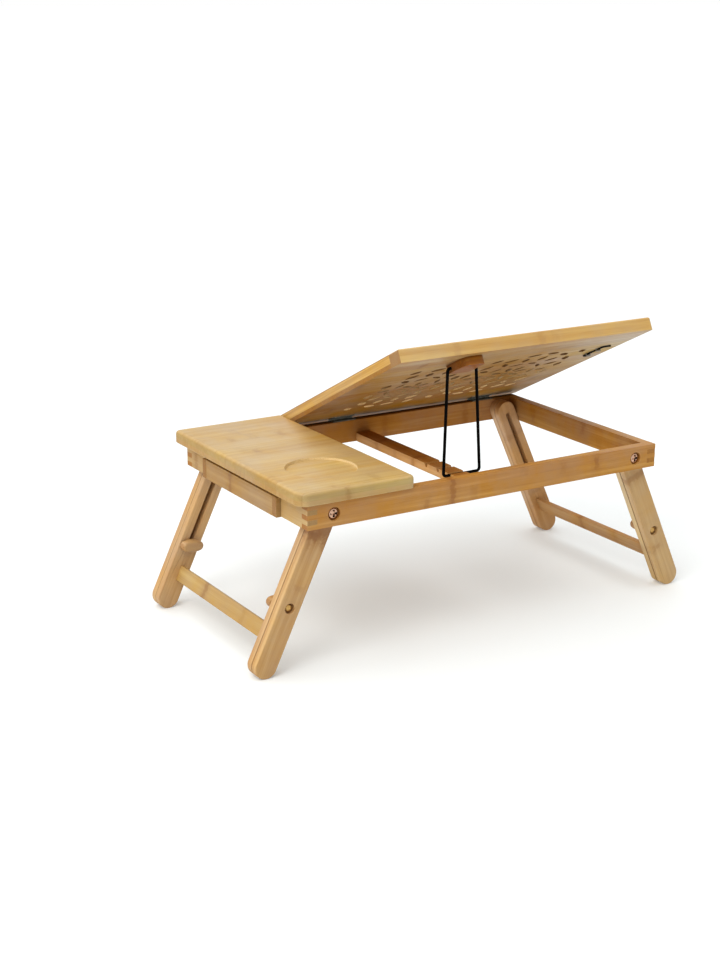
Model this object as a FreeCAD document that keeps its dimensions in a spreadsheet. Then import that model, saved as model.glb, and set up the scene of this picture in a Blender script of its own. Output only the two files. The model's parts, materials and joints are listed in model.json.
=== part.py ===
import FreeCAD, Part
import Sketcher
import math
import os

V = FreeCAD.Vector
ROT = FreeCAD.Rotation
doc = FreeCAD.newDocument("laptop_stand")

# ---------------------------------------------------------------------------
# Driving dimensions, millimetres and degrees.
# X runs along the long rails (drawer end is +X), Y across (the hinged edge,
# where the user sits, is -Y), Z is up and the feet stand on Z = 0.
# ---------------------------------------------------------------------------
sheet = doc.addObject("Spreadsheet::Sheet", "Params")
P = {}


class Q:
    """A number that also carries the spreadsheet expression it came from."""

    def __init__(self, v, e):
        self.v = float(v)
        self.e = e

    def __add__(a, b):
        b = q(b)
        return Q(a.v + b.v, "(%s + %s)" % (a.e, b.e))

    __radd__ = __add__

    def __sub__(a, b):
        b = q(b)
        return Q(a.v - b.v, "(%s - %s)" % (a.e, b.e))

    def __rsub__(a, b):
        return q(b) - a

    def __mul__(a, b):
        b = q(b)
        return Q(a.v * b.v, "(%s * %s)" % (a.e, b.e))

    __rmul__ = __mul__

    def __truediv__(a, b):
        b = q(b)
        return Q(a.v / b.v, "(%s / %s)" % (a.e, b.e))

    def __neg__(a):
        return Q(-a.v, "(0 - %s)" % a.e)


def q(x):
    return x if isinstance(x, Q) else Q(x, repr(float(x)))


def cos(a):
    return Q(math.cos(math.radians(a.v)), "cos(%s)" % a.e)


def sin(a):
    return Q(math.sin(math.radians(a.v)), "sin(%s)" % a.e)


def cell(alias, value, note):
    r = len(P) + 1
    sheet.set("A%d" % r, alias)
    sheet.set("B%d" % r, repr(float(value)))
    sheet.set("C%d" % r, note)
    sheet.setAlias("B%d" % r, alias)
    P[alias] = Q(value, "Params.%s" % alias)
    return P[alias]


LEN = cell("frame_len", 475, "frame length over the end rails")
WID = cell("frame_wid", 285, "frame width over the long rails")
RH = cell("rail_high", 27.5, "rail height")
RT = cell("rail_thk", 12, "rail thickness")
REAR = cell("rear_face", 148.49, "Y of the rear rail's outer face")
TT = cell("top_thk", 15, "fixed top thickness")
OVR = cell("over_rear", 4, "top overhang at the rear")
OVF = cell("over_front", 9, "top overhang at the hinge side")
OVE = cell("over_end", 11.7, "top overhang at the drawer end")
TOPL = cell("top_len", 143.4, "fixed top length along X")
CUPR = cell("cup_rad", 39.5, "cup recess radius")
CUPD = cell("cup_deep", 2.6, "cup recess depth")
PIN = cell("pivot_inset", 32.5, "leg pivot from the drawer end of the frame")
PINL = cell("pivot_inset_l", 30.1, "leg pivot from the plain end of the frame")
PZ = cell("pivot_up", 13.75, "leg pivot above the rail's underside")
SPL = cell("splay", 25, "leg angle from the vertical")
LW = cell("leg_wide", 26.3, "leg board width")
LT = cell("leg_thk", 9.4, "leg board thickness")
LL = cell("leg_long", 180, "pivot to the centre of the rounded foot")
LGAP = cell("leg_gap", 0.3, "gap between rail and leg board")
BGAP = cell("board_gap", 0.4, "gap between the two leg boards")
LOCK = cell("lock_down", 112, "pivot to the lock bolt")
SLW = cell("slot_rad", 3.2, "half width of the slot")
BR = cell("bolt_rad", 2.9, "lock bolt shank radius")
TILT = cell("tilt_rest", 26.8, "tilt of the panel when propped")
PT = cell("panel_thk", 15.5, "panel thickness")
KN = cell("knuckle_off", 1.1, "rail top and panel underside from the hinge axis")
PNEAR = cell("panel_near", 287.2, "hinge axis to the panel's raised edge")
SW = cell("strip_wide", 21, "edge strip width")
WR = cell("wire_rad", 1.8, "prop wire radius")
KT = cell("knob_thk", 10.5, "wing knob thickness")
DH = cell("drawer_high", 22.6, "drawer height")
DDROP = cell("drawer_drop", 1, "drawer below the rails' underside")
DT = cell("drawer_thk", 9, "drawer side thickness")
DOUT = cell("drawer_out", 5.2, "how far the drawer stands open at rest")
DY1 = cell("drawer_near", 58, "drawer side from the rear rail's outer face")
DY2 = cell("drawer_far", 234, "drawer's other side, same datum")
DL = cell("drawer_long", 123.5, "drawer length")
RACKW = cell("rack_wide", 21.5, "prop rack width")
RACKH = cell("rack_high", 10.5, "prop rack height")
doc.recompute()

HALF = LEN / 2
ZF = LL * cos(SPL) + LW / 2 - PZ            # underside of the rails
FRONT = REAR - WID                          # Y of the front rail's outer face
ZT = ZF + RH                                # top of the rails
AXY = FRONT + KN                            # hinge axis, over the front rail's outer edge
AXZ = ZT + KN

nodes = []                                  # (label, object) to write out


# ---------------------------------------------------------------------------
# Helpers
# ---------------------------------------------------------------------------
def plane(body, role):
    for o in body.Origin.OriginFeatures:
        if o.Role == role:
            return o


def new_body(label, node=True):
    b = doc.addObject("PartDesign::Body", label)
    b.Label = label
    if node:
        nodes.append((label, b))
    return b


def put(obj, x, y, z, rot=None):
    """Place a sub-part, its position bound to the sheet."""
    x, y, z = q(x), q(y), q(z)
    obj.Placement = FreeCAD.Placement(V(x.v, y.v, z.v), rot or ROT())
    obj.setExpression(".Placement.Base.x", x.e)
    obj.setExpression(".Placement.Base.y", y.e)
    obj.setExpression(".Placement.Base.z", z.e)


def sketch(body, role, off=0):
    s = body.newObject("Sketcher::SketchObject", "Sketch")
    s.AttachmentSupport = (plane(body, role), [""])
    s.MapMode = "FlatFace"
    off = q(off)
    if off.v or "Params" in off.e:
        s.AttachmentOffset = FreeCAD.Placement(V(0, 0, off.v), ROT())
        s.setExpression(".AttachmentOffset.Base.z", off.e)
    return s


def pin_point(s, g, pos, x, y):
    """Hold one sketch point at sheet-bound coordinates."""
    for axis, val, ref in (("DistanceX", x, -2), ("DistanceY", y, -1)):
        if abs(val.v) < 1e-9:
            s.addConstraint(Sketcher.Constraint("PointOnObject", g, pos, ref))
        elif "Params" in val.e:
            k = s.addConstraint(Sketcher.Constraint(axis, -1, 1, g, pos, val.v))
            s.setExpression("Constraints[%d]" % k, val.e)
        else:
            s.addConstraint(Sketcher.Constraint(axis, -1, 1, g, pos, val.v))


def poly(s, pts):
    pts = [(q(a), q(b)) for a, b in pts]
    n = len(pts)
    first = None
    for i in range(n):
        a, b = pts[i], pts[(i + 1) % n]
        g = s.addGeometry(Part.LineSegment(V(a[0].v, a[1].v, 0), V(b[0].v, b[1].v, 0)), False)
        first = g if first is None else first
    for i in range(n):
        s.addConstraint(Sketcher.Constraint("Coincident", first + i, 2, first + (i + 1) % n, 1))
    for i in range(n):
        pin_point(s, first + i, 1, *pts[i])


def rect(s, x0, y0, x1, y1):
    poly(s, [(x0, y0), (x1, y0), (x1, y1), (x0, y1)])


def circle(s, x, y, r):
    x, y, r = q(x), q(y), q(r)
    g = s.addGeometry(Part.Circle(V(x.v, y.v, 0), V(0, 0, 1), r.v), False)
    k = s.addConstraint(Sketcher.Constraint("Radius", g, r.v))
    if "Params" in r.e:
        s.setExpression("Constraints[%d]" % k, r.e)
    pin_point(s, g, 3, x, y)


def slot(s, x, y0, y1, r):
    """A vertical slot with round ends, centres at (x, y0) and (x, y1), y0 > y1."""
    x, y0, y1, r = q(x), q(y0), q(y1), q(r)
    a = s.addGeometry(Part.Arc(V(x.v + r.v, y0.v, 0), V(x.v, y0.v + r.v, 0), V(x.v - r.v, y0.v, 0)), False)
    b = s.addGeometry(Part.LineSegment(V(x.v - r.v, y0.v, 0), V(x.v - r.v, y1.v, 0)), False)
    c = s.addGeometry(Part.Arc(V(x.v - r.v, y1.v, 0), V(x.v, y1.v - r.v, 0), V(x.v + r.v, y1.v, 0)), False)
    d = s.addGeometry(Part.LineSegment(V(x.v + r.v, y1.v, 0), V(x.v + r.v, y0.v, 0)), False)
    s.addConstraint(Sketcher.Constraint("Tangent", a, 2, b, 1))
    s.addConstraint(Sketcher.Constraint("Tangent", b, 2, c, 1))
    s.addConstraint(Sketcher.Constraint("Tangent", c, 2, d, 1))
    s.addConstraint(Sketcher.Constraint("Tangent", d, 2, a, 1))
    k = s.addConstraint(Sketcher.Constraint("Radius", a, r.v))
    s.setExpression("Constraints[%d]" % k, r.e)
    pin_point(s, a, 3, x, y0)
    pin_point(s, c, 3, x, y1)


def pad(body, s, length):
    length = q(length)
    f = body.newObject("PartDesign::Pad", "Pad")
    f.Profile = s
    f.Length = length.v
    f.setExpression("Length", length.e)
    doc.recompute()
    if not f.Shape.isValid() or f.Shape.Volume <= 0:
        raise SystemExit("pad failed in " + body.Label)
    return f


def pocket(body, s, length=None):
    """Cut a profile out of the body; the direction is the one that cuts."""
    before = body.Shape.Volume
    f = body.newObject("PartDesign::Pocket", "Pocket")
    f.Profile = s
    if length is None:
        f.Type = "ThroughAll"
    else:
        length = q(length)
        f.Length = length.v
        f.setExpression("Length", length.e)
    doc.recompute()
    if before - f.Shape.Volume < 1e-3:
        f.Reversed = True
        doc.recompute()
    if before - f.Shape.Volume < 1e-3:
        raise SystemExit("pocket cuts nothing in " + body.Label)
    return f


def edges(shape, test):
    """Names of the edges whose end points and middle all pass a test."""
    out = []
    for i, e in enumerate(shape.Edges, 1):
        m = e.valueAt((e.FirstParameter + e.LastParameter) / 2)
        pts = [v.Point for v in e.Vertexes] + [m]
        if all(test(p) for p in pts):
            out.append("Edge%d" % i)
    return out


def dress(body, kind, names, size):
    base = body.Tip
    f = body.newObject("PartDesign::" + kind, kind)
    f.Base = (base, names)
    size = q(size)
    if kind == "Fillet":
        f.Radius = size.v
    else:
        f.Size = size.v
    doc.recompute()
    if not f.Shape.isValid() or f.Shape.Volume <= 0:
        raise SystemExit("%s failed in %s" % (kind, body.Label))
    return f


def box(name, x, y, z, dx, dy, dz):
    b = doc.addObject("Part::Box", name)
    for prop, val in (("Length", dx), ("Width", dy), ("Height", dz)):
        val = q(val)
        setattr(b, prop, val.v)
        b.setExpression(prop, val.e)
    put(b, x, y, z)
    return b


def cyl(name, r, h, base, axis):
    c = doc.addObject("Part::Cylinder", name)
    r, h = q(r), q(h)
    c.Radius, c.Height = r.v, h.v
    c.setExpression("Radius", r.e)
    c.setExpression("Height", h.e)
    put(c, base[0], base[1], base[2], ROT(V(0, 0, 1), V(*axis)))
    return c


def fuse(label, objs):
    f = doc.addObject("Part::MultiFuse", label)
    f.Shapes = objs
    f.Refine = True
    doc.recompute()
    return f


def cut(label, base, tools, node=True):
    t = tools[0] if len(tools) == 1 else fuse(label + "_tools", tools)
    c = doc.addObject("Part::Cut", label)
    c.Label = label
    c.Base = base
    c.Tool = t
    doc.recompute()
    if node:
        nodes.append((label, c))
    return c


def group(label, shapes):
    """Identical fasteners share one sub-part, as separate solids."""
    f = doc.addObject("Part::Feature", label)
    f.Label = label
    f.Shape = Part.makeCompound([s.Solids[0] for s in shapes])
    nodes.append((label, f))
    return f


def turned(label, pts):
    """A turned piece: half profile (radius, height) about the local Z axis."""
    b = new_body(label, node=False)
    s = sketch(b, "XZ_Plane")
    poly(s, pts)
    r = b.newObject("PartDesign::Revolution", "Revolution")
    r.Profile = s
    r.ReferenceAxis = (s, ["V_Axis"])
    r.Angle = 360
    doc.recompute()
    if r.Shape.Volume <= 0:
        raise SystemExit("revolution failed in " + label)
    return b


def crossed(label, base, span, wide, deep, z):
    """Cuts a cross recess into a screw head; its mouth is at height z and the
    recess goes up from there if deep is positive."""
    lo = z if deep > 0 else z + deep
    z0, h = (lo - 1, abs(deep) + 1) if deep > 0 else (lo, abs(deep) + 1)
    a = box(label + "_slot_a", -span / 2, -wide / 2, z0, span, wide, h)
    b = box(label + "_slot_b", -wide / 2, -span / 2, z0, wide, span, h)
    return cut(label + "_crossed", base, [a, b], node=False)


def copies(template, places):
    out = []
    for pos, axis in places:
        s = template.Shape.copy()
        s.Placement = FreeCAD.Placement(V(*pos), ROT(V(0, 0, 1), V(*axis))).multiply(s.Placement)
        out.append(s)
    return out


# ---------------------------------------------------------------------------
# Frame rails: five equal fingers at each corner. The long rails keep fingers
# 1, 3 and 5; the end rails keep 2 and 4.
# ---------------------------------------------------------------------------
F = RH / 5


def comb(length, inset_even):
    """Outline of a rail's broad face with finger ends."""
    right, left = [], []
    for i in range(5):
        inset = RT if (i % 2 == 0) == inset_even else q(0)
        z0 = F * i if i else q(0)
        z1 = RH if i == 4 else F * (i + 1)
        right += [(length - inset, z0), (length - inset, z1)]
        left += [(inset, z0), (inset, z1)]
    return right + left[::-1]


def long_rail(label, rear):
    b = new_body(label)
    s = sketch(b, "XZ_Plane")
    poly(s, comb(LEN, False))
    pad(b, s, RT)
    # pivot bolt holes and the counterbores for their heads
    s = sketch(b, "XZ_Plane")
    circle(s, PINL, PZ, 2.5)
    circle(s, LEN - PIN, PZ, 2.5)
    pocket(b, s)
    s = sketch(b, "XZ_Plane", 0 if rear else RT)
    circle(s, PINL, PZ, 7.4)
    circle(s, LEN - PIN, PZ, 7.4)
    pocket(b, s, 4)
    # mortise for the rack's stub tenon
    s = sketch(b, "XZ_Plane", RT if rear else 0)
    rect(s, HALF - 8, 2, HALF + 8, 8.5)
    pocket(b, s, 5)
    # blind dowel holes under the fixed top, and pilot holes for the hinges
    s = sketch(b, "XY_Plane", RH)
    for x in (LEN - 18.5, LEN - 102.5):
        circle(s, x, -RT / 2, 3)
    pocket(b, s, 9)
    if not rear:
        s = sketch(b, "XY_Plane", RH)
        for x in HINGE_X:
            for dx in (-10, 10):
                circle(s, HALF + x + dx, KN - RT + 4.8, 1.2)
        pocket(b, s, 9)
        # rebates under the hinge knuckles
        s = sketch(b, "XY_Plane", RH)
        for x in HINGE_X:
            rect(s, HALF + x - 16.6, -RT - 1, HALF + x + 16.6, KN - RT + 1.8)
        pocket(b, s, 0.7)
    put(b, -HALF, REAR if rear else FRONT + RT, ZF)
    return b


HINGE_X = (27.2, -182.9)                    # hinge centres along X

long_rail("rail_rear", True)
long_rail("rail_front", False)


def end_rail(label, right):
    b = new_body(label)
    s = sketch(b, "YZ_Plane")
    pts = comb(WID, True)
    if right:
        # the drawer's opening is cut up from the underside
        lo, hi = WID - DY2 - 0.8, WID - DY1 + 0.8
        top = DH - DDROP + 1.1
        pts = [(hi, q(0))] + pts + [(lo, q(0)), (lo, top), (hi, top)]
    poly(s, pts)
    pad(b, s, RT)
    # bevels low down inside, at the splay angle, for the legs to rest against
    for y in (-RT, RT + 21 - WID):
        s = sketch(b, "XZ_Plane", y)
        if right:
            poly(s, [(0, 0), (1.6, 0), (0, 3.4)])
        else:
            poly(s, [(RT - 3.6, 0), (RT, 0), (RT, 7.6)])
        pocket(b, s, 21)
    if right:
        s = sketch(b, "XY_Plane", RH)
        circle(s, RT / 2, 30, 3)
        circle(s, RT / 2, WID - 30, 3)
        pocket(b, s, 9)
    put(b, HALF - RT if right else -HALF, FRONT, ZF)
    return b


end_rail("rail_right", True)
end_rail("rail_left", False)

# ---------------------------------------------------------------------------
# Fixed top over the drawer, with a shallow round recess for a cup
# ---------------------------------------------------------------------------
top = new_body("fixed_top")
TX1 = HALF + OVE
TX0 = TX1 - TOPL
TW = WID + OVR + OVF
s = sketch(top, "XY_Plane")
rect(s, 0, 0, TOPL, TW)
pad(top, s, TT)
dress(top, "Fillet", edges(top.Shape, lambda p: abs(p.x - TOPL.v) < 1e-6 and p.y > TW.v - 1e-6), 15)
up = edges(top.Shape, lambda p: (abs(p.x) < 1e-6 and p.y > TW.v - 1e-6) or p.y < 1e-6 and (abs(p.x) < 1e-6 or abs(p.x - TOPL.v) < 1e-6))
dress(top, "Fillet", up, 5.2)
dress(top, "Fillet", edges(top.Shape, lambda p: abs(p.z - TT.v) < 1e-6), 4.6)
dress(top, "Chamfer", edges(top.Shape, lambda p: abs(p.z) < 1e-6), 1)
CUPX, CUPY = TOPL - OVE - 58, TW - OVR - 71
s = sketch(top, "XY_Plane", TT)
circle(s, CUPX, CUPY, CUPR)
pocket(top, s, CUPD)
floor_edge = edges(top.Shape, lambda p: abs(p.z - (TT.v - CUPD.v)) < 1e-6)
dress(top, "Fillet", floor_edge, 0.7)
mouth = [n for n in edges(top.Shape, lambda p: abs(p.z - TT.v) < 1e-6)
         if abs(top.Shape.Edges[int(n[4:]) - 1].Length - 2 * math.pi * CUPR.v) < 0.5]
dress(top, "Fillet", mouth, 0.5)
s = sketch(top, "XY_Plane")
DOWX = [TOPL - OVE - 18.5, TOPL - OVE - 102.5]
for x in DOWX:
    circle(s, x, OVF + RT / 2, 3)
    circle(s, x, TW - OVR - RT / 2, 3)
circle(s, TOPL - OVE - RT / 2, OVF + 30, 3)
circle(s, TOPL - OVE - RT / 2, TW - OVR - 30, 3)
pocket(top, s, 9)
put(top, TX0, FRONT - OVF, ZT)

dowel = turned("dowel_shape", [(0, -8.6), (2.5, -8.6), (3, -8.1), (3, 8.1), (2.5, 8.6), (0, 8.6)])
dp = []
for x in (HALF.v - 18.5, HALF.v - 102.5):
    for y in (FRONT.v + RT.v / 2, REAR.v - RT.v / 2):
        dp.append(((x, y, ZT.v), (0, 0, 1)))
for y in (FRONT.v + 30, REAR.v - 30):
    dp.append(((HALF.v - RT.v / 2, y, ZT.v), (0, 0, 1)))
group("top_dowels", copies(dowel, dp))

# ---------------------------------------------------------------------------
# Prop rack: a bar between the long rails with three leaning notches, and a
# stub tenon at each end. Distances along it run from the front rail.
# ---------------------------------------------------------------------------
rack = new_body("prop_rack")
RL = WID - 2 * RT
s = sketch(rack, "YZ_Plane", -RACKW / 2)
prof = [(-4.8, 2.0), (0, 2.0), (0, 0), (RL, 0), (RL, 2.0), (RL + 4.8, 2.0), (RL + 4.8, 8.5), (RL, 8.5), (RL, RACKH)]
SEAT = [WID - 68.5 - RT, WID - 92.5 - RT, WID - 116.5 - RT]     # notch seats
for c in SEAT:
    prof += [(c + 2.0, RACKH), (c + 2.0, 7.6), (c + 1.3, 6.5), (c - 1.3, 6.5), (c - 2.1, 7.7), (c - 3.8, RACKH)]
prof += [(0, RACKH), (0, 8.5), (-4.8, 8.5)]
poly(s, prof)
pad(rack, s, RACKW)
for y0, y1 in ((-6, 0), (RL, RL + 6)):
    for x0, x1 in ((-RACKW / 2 - 1, q(-8)), (q(8), RACKW / 2 + 1)):
        s = sketch(rack, "XY_Plane", 12)
        rect(s, x0, y0, x1, y1)
        pocket(rack, s)
put(rack, 0, FRONT + RT, ZF)
SEATY = FRONT.v + RT.v + SEAT[0].v          # prop bar's seat, row coordinates
SEATZ = ZF.v + 8.35

# ---------------------------------------------------------------------------
# Drawer runners: an L section hung from the fixed top; the tongue runs in a
# groove in the drawer's side.
# ---------------------------------------------------------------------------
RUNX0 = HALF - 126
RUNL = q(114)


def runner(label, y_drawer, sgn):
    """y_drawer is the drawer side's outer face; sgn points away from it."""
    y_drawer = q(y_drawer)
    wy = y_drawer + 0.4 if sgn > 0 else y_drawer - 6.4
    ty = y_drawer - 3.2 if sgn > 0 else y_drawer - 0.4
    web = box(label + "_web", RUNX0, wy, ZF + 10.2, RUNL, 6, RH - 10.2)
    tongue = box(label + "_tongue", RUNX0, ty, ZF + 10.2, RUNL, 3.6, 4.6)
    whole = fuse(label + "_bar", [web, tongue])
    holes = [cyl(label + "_h%d" % i, 1.5, 20, (HALF - x, wy + 3, ZF + 9), (0, 0, 1)) for i, x in enumerate((28, 110))]
    return cut(label, whole, holes)


runner("drawer_runner_rear", REAR - DY1, 1)
runner("drawer_runner_front", REAR - DY2, -1)
screw_r = turned("runner_screw_shape", [(0, 0), (1.5, 0), (1.5, RH.v - 10.2 + 7), (0, RH.v - 10.2 + 9)])
sp = []
for x in (28, 110):
    for y in (REAR.v - DY1.v + 3.4, REAR.v - DY2.v - 3.4):
        sp.append(((HALF.v - x, y, ZF.v + 10.2), (0, 0, 1)))
# pilot holes for these screws in the fixed top's underside
tp = sketch(top, "XY_Plane")
for x in (28, 110):
    for d in (DY1 - 3.4, DY2 + 3.4):
        circle(tp, TOPL - OVE - x, OVF + WID - d, 1.5)
pocket(top, tp, 9.2)
group("runner_screws", copies(screw_r, sp))

# ---------------------------------------------------------------------------
# Drawer: the front board sits between the two side boards, whose end grain
# shows at its ends; a thin bottom rides in grooves.
# ---------------------------------------------------------------------------
DX1 = HALF + DOUT                           # drawer's outer face at rest
DX0 = DX1 - DL
SY1 = REAR - DY1                            # rear side board's outer face
SY0 = REAR - DY2                            # front side board's outer face
ZD = ZF - DDROP                             # drawer's underside
GZ = ZF + 9.8                               # groove for the runner's tongue
BZ = ZD + 1.6                               # drawer bottom's underside
BT = q(3)


def drawer_side(label, y0, groove_y, rabbet_y):
    side = box(label + "_board", DX0, y0, ZD, DL, DT, DH)
    g = box(label + "_groove", DX0 - 1, groove_y, GZ, DL - 10, 3.6, 5.4)
    r = box(label + "_rabbet", DX0 - 1, rabbet_y, BZ, DL - 3, 3, BT)
    return cut(label, side, [g, r])


drawer_side("drawer_side_rear", SY1 - DT, SY1 - 3.5, SY1 - DT)
drawer_side("drawer_side_front", SY0, SY0 - 0.1, SY0 + DT - 3)
IY0, IY1 = SY0 + DT, SY1 - DT
fb = box("front_board", DX1 - 8, IY0, ZD, 8, IY1 - IY0, DH)
fg = box("front_groove", DX1 - 8, IY0 - 1, BZ, 4, IY1 - IY0 + 2, BT)
cut("drawer_front", fb, [fg])
bb = box("back_board", DX0, IY0, BZ + BT, 7, IY1 - IY0, DH - BT - 1.6)
bb.Label = "drawer_back"
nodes.append(("drawer_back", bb))
bt = box("bottom_board", DX0, IY0 - 2.9, BZ, DL - 4.1, IY1 - IY0 + 5.8, BT)
btc = [box("bottom_nick%d" % i, DX1 - 8, yy, BZ - 1, 5, 3, 5) for i, yy in enumerate((IY0 - 3, IY1))]
cut("drawer_bottom", bt, btc)

# ---------------------------------------------------------------------------
# Butt hinges on top of the front rail, their knuckles let into rail and panel.
# ---------------------------------------------------------------------------
HL = 32.5                                   # hinge length
LEAF = 1.0
KR, KB = 1.6, 0.8                           # knuckle radius, bore radius


def leaf(label, xc, segs, gap, up_side, holes):
    """A leaf with rolled knuckles, in the flat (closed) position, origin on
    the hinge axis; up_side leaves lie under the panel."""
    k = KN.v
    z0 = (k - LEAF) if up_side else -k
    plate = Part.makeBox(HL, 9.8, LEAF, V(-HL / 2, 0.0, z0))
    clear = []
    for a, b in segs["open"]:
        clear.append(Part.makeBox(b - a, 2.3, 6, V(a, -0.5, -3)))
    shape = plate
    for c in clear:
        shape = shape.cut(c)
    for a, b in segs["own"]:
        tube = Part.makeCylinder(KR, b - a, V(a, 0, 0), V(1, 0, 0))
        shape = shape.fuse(tube)
    shape = shape.cut(Part.makeCylinder(KB + gap, HL + 4, V(-HL / 2 - 2, 0, 0), V(1, 0, 0)))
    for dx in (-10, 10):
        if up_side:
            shape = shape.cut(Part.makeCone(1.2, 2.4, LEAF, V(dx, 4.8, z0 + LEAF), V(0, 0, -1)))
        else:
            shape = shape.cut(Part.makeCone(1.2, 2.4, LEAF, V(dx, 4.8, z0), V(0, 0, 1)))
    return shape.removeSplitter()


OUTER = {"own": [(-16.25, -8.1), (8.1, 16.25)], "open": [(-8.3, 8.3)]}
INNER = {"own": [(-7.9, 7.9)], "open": [(-16.35, -7.9), (7.9, 16.35)]}
for tag, xc in zip("ab", HINGE_X):
    f = doc.addObject("Part::Feature", "hinge_leaf_frame_" + tag)
    f.Label = "hinge_leaf_frame_" + tag
    f.Shape = leaf(f.Label, xc, OUTER, 0.0, False, None)
    put(f, xc, AXY, AXZ)
    nodes.append((f.Label, f))
PANEL_ROT = ROT(V(1, 0, 0), TILT.v)
for tag, xc in zip("ab", HINGE_X):
    f = doc.addObject("Part::Feature", "hinge_leaf_panel_" + tag)
    f.Label = "hinge_leaf_panel_" + tag
    f.Shape = leaf(f.Label, xc, INNER, 0.05, True, None)
    put(f, xc, AXY, AXZ, PANEL_ROT)
    nodes.append((f.Label, f))
pin = turned("hinge_pin_shape", [(0, -16.25), (KB, -16.25), (KB, 16.25), (0, 16.25)])
group("hinge_pins", copies(pin, [((xc, AXY.v, AXZ.v), (1, 0, 0)) for xc in HINGE_X]))
hs = crossed("hinge_screw", turned("hinge_screw_shape", [(0, 0), (2.4, 0), (1.2, -LEAF), (1.2, -7.5), (0, -9.5)]), 2.6, 0.7, -0.8, 0)
sp = []
for xc in HINGE_X:
    for dx in (-10, 10):
        sp.append(((xc + dx, AXY.v + 4.8, AXZ.v - KN.v + LEAF), (0, 0, 1)))
group("hinge_screws_frame", copies(hs, sp))

# ---------------------------------------------------------------------------
# Tilting panel, drawn flat with its origin on the hinge axis, then turned up
# by the rest tilt. Local y runs from the hinge towards the raised edge.
# ---------------------------------------------------------------------------
PX1 = HALF - 132.2                          # edge beside the fixed top
PX0 = -(HALF + 12.0)                        # free edge
PF = OVF + 2.6                              # beyond the hinge axis
SB = PNEAR - SW                             # where the edge strip starts
board = new_body("panel_board")
s = sketch(board, "XY_Plane", KN)
rect(s, PX0, -PF, PX1, SB)
pad(board, s, PT)
far = -PF.v
dress(board, "Fillet", edges(board.Shape, lambda p: abs(p.x - PX0.v) < 1e-6 and abs(p.y - far) < 1e-6), 4)
zt = KN.v + PT.v
dress(board, "Fillet", edges(board.Shape, lambda p: abs(p.z - zt) < 1e-6 and p.y < SB.v - 1e-3 or
      (abs(p.z - zt) < 1e-6 and (abs(p.x - PX0.v) < 1e-6 or abs(p.x - PX1.v) < 1e-6))), 2.2)


def lens(s, cx, cy, ang, length, width):
    """A leaf-shaped hole: two arcs that meet in points."""
    a = math.radians(ang)
    ux, uy = math.cos(a), math.sin(a)
    wx, wy = -uy, ux
    p0 = V(cx - ux * length / 2, cy - uy * length / 2, 0)
    p1 = V(cx + ux * length / 2, cy + uy * length / 2, 0)
    m0 = V(cx + wx * width / 2, cy + wy * width / 2, 0)
    m1 = V(cx - wx * width / 2, cy - wy * width / 2, 0)
    g = s.addGeometry(Part.Arc(p0, m0, p1), False)
    h = s.addGeometry(Part.Arc(p1, m1, p0), False)
    return g, h


def vent_field():
    """Two rosettes of leaf-shaped vents: (x, y, angle, length, width). Each
    ring is (count, radius, length, width, 1 if the leaves lie along the ring,
    first angle, how narrow the ring is along x)."""
    out = []
    for cx, cy, rings in (
        (2, 136, ((6, 16, 15, 7.0, 0, 30, 0.85), (8, 43, 19, 6.0, 1, 22.5, 0.66), (10, 65, 17, 9.5, 0, 0, 0.60),
                  (12, 86, 19, 10.5, 1, 15, 0.58), (4, 110, 16, 9.5, 1, 49, 0.60))),
        (-132, 138, ((8, 22, 20, 8.0, 0, 22.5, 0.9), (10, 46, 20, 6.0, 1, 0, 0.85), (14, 67, 18, 8.4, 0, 0, 0.82),
                     (16, 88, 20, 9.5, 1, 11.25, 0.80), (4, 111, 17, 9.0, 1, 45, 0.80))),
    ):
        for n, r, ln, w, around, start, k in rings:
            for i in range(n):
                a = math.radians(start + 360.0 * i / n)
                if n == 4:                  # leaves in the corners of the field
                    a = math.radians((start, 180 - start, 180 + start, 360 - start)[i])
                x, y = cx + k * r * math.cos(a), cy + r * math.sin(a)
                turn = math.atan2(math.cos(a), -k * math.sin(a)) if around else math.atan2(math.sin(a), k * math.cos(a))
                out.append((x, y, math.degrees(turn), ln, w))
    return out


s = sketch(board, "XY_Plane", KN)
for x, y, a, ln, w in vent_field():
    lens(s, x, y, a, ln, w)
circle(s, 2, 136, 4)
circle(s, -132, 138, 5.5)
pocket(board, s)
s = sketch(board, "XY_Plane", KN)
for xc in HINGE_X:
    for dx in (-10, 10):
        circle(s, xc + dx, 4.8, 1.2)
pocket(board, s, 9)
s = sketch(board, "XY_Plane", KN)
for xc in HINGE_X:
    rect(s, xc - 16.6, -1.8, xc + 16.6, 1.8)
pocket(board, s, 0.7)
put(board, 0, AXY, AXZ, PANEL_ROT)

strip = new_body("panel_edge_strip")
s = sketch(strip, "XY_Plane", KN)
rect(s, PX0, SB, PX1, PNEAR)
pad(strip, s, PT)
near = PNEAR.v
dress(strip, "Fillet", edges(strip.Shape, lambda p: abs(p.x - PX0.v) < 1e-6 and abs(p.y - near) < 1e-6), 4)
dress(strip, "Fillet", edges(strip.Shape, lambda p: abs(p.z - zt) < 1e-6 and p.y > SB.v + 1e-3 or
      (abs(p.z - zt) < 1e-6 and (abs(p.x - PX0.v) < 1e-6 or abs(p.x - PX1.v) < 1e-6))), 2.2)
put(strip, 0, AXY, AXZ, PANEL_ROT)

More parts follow.
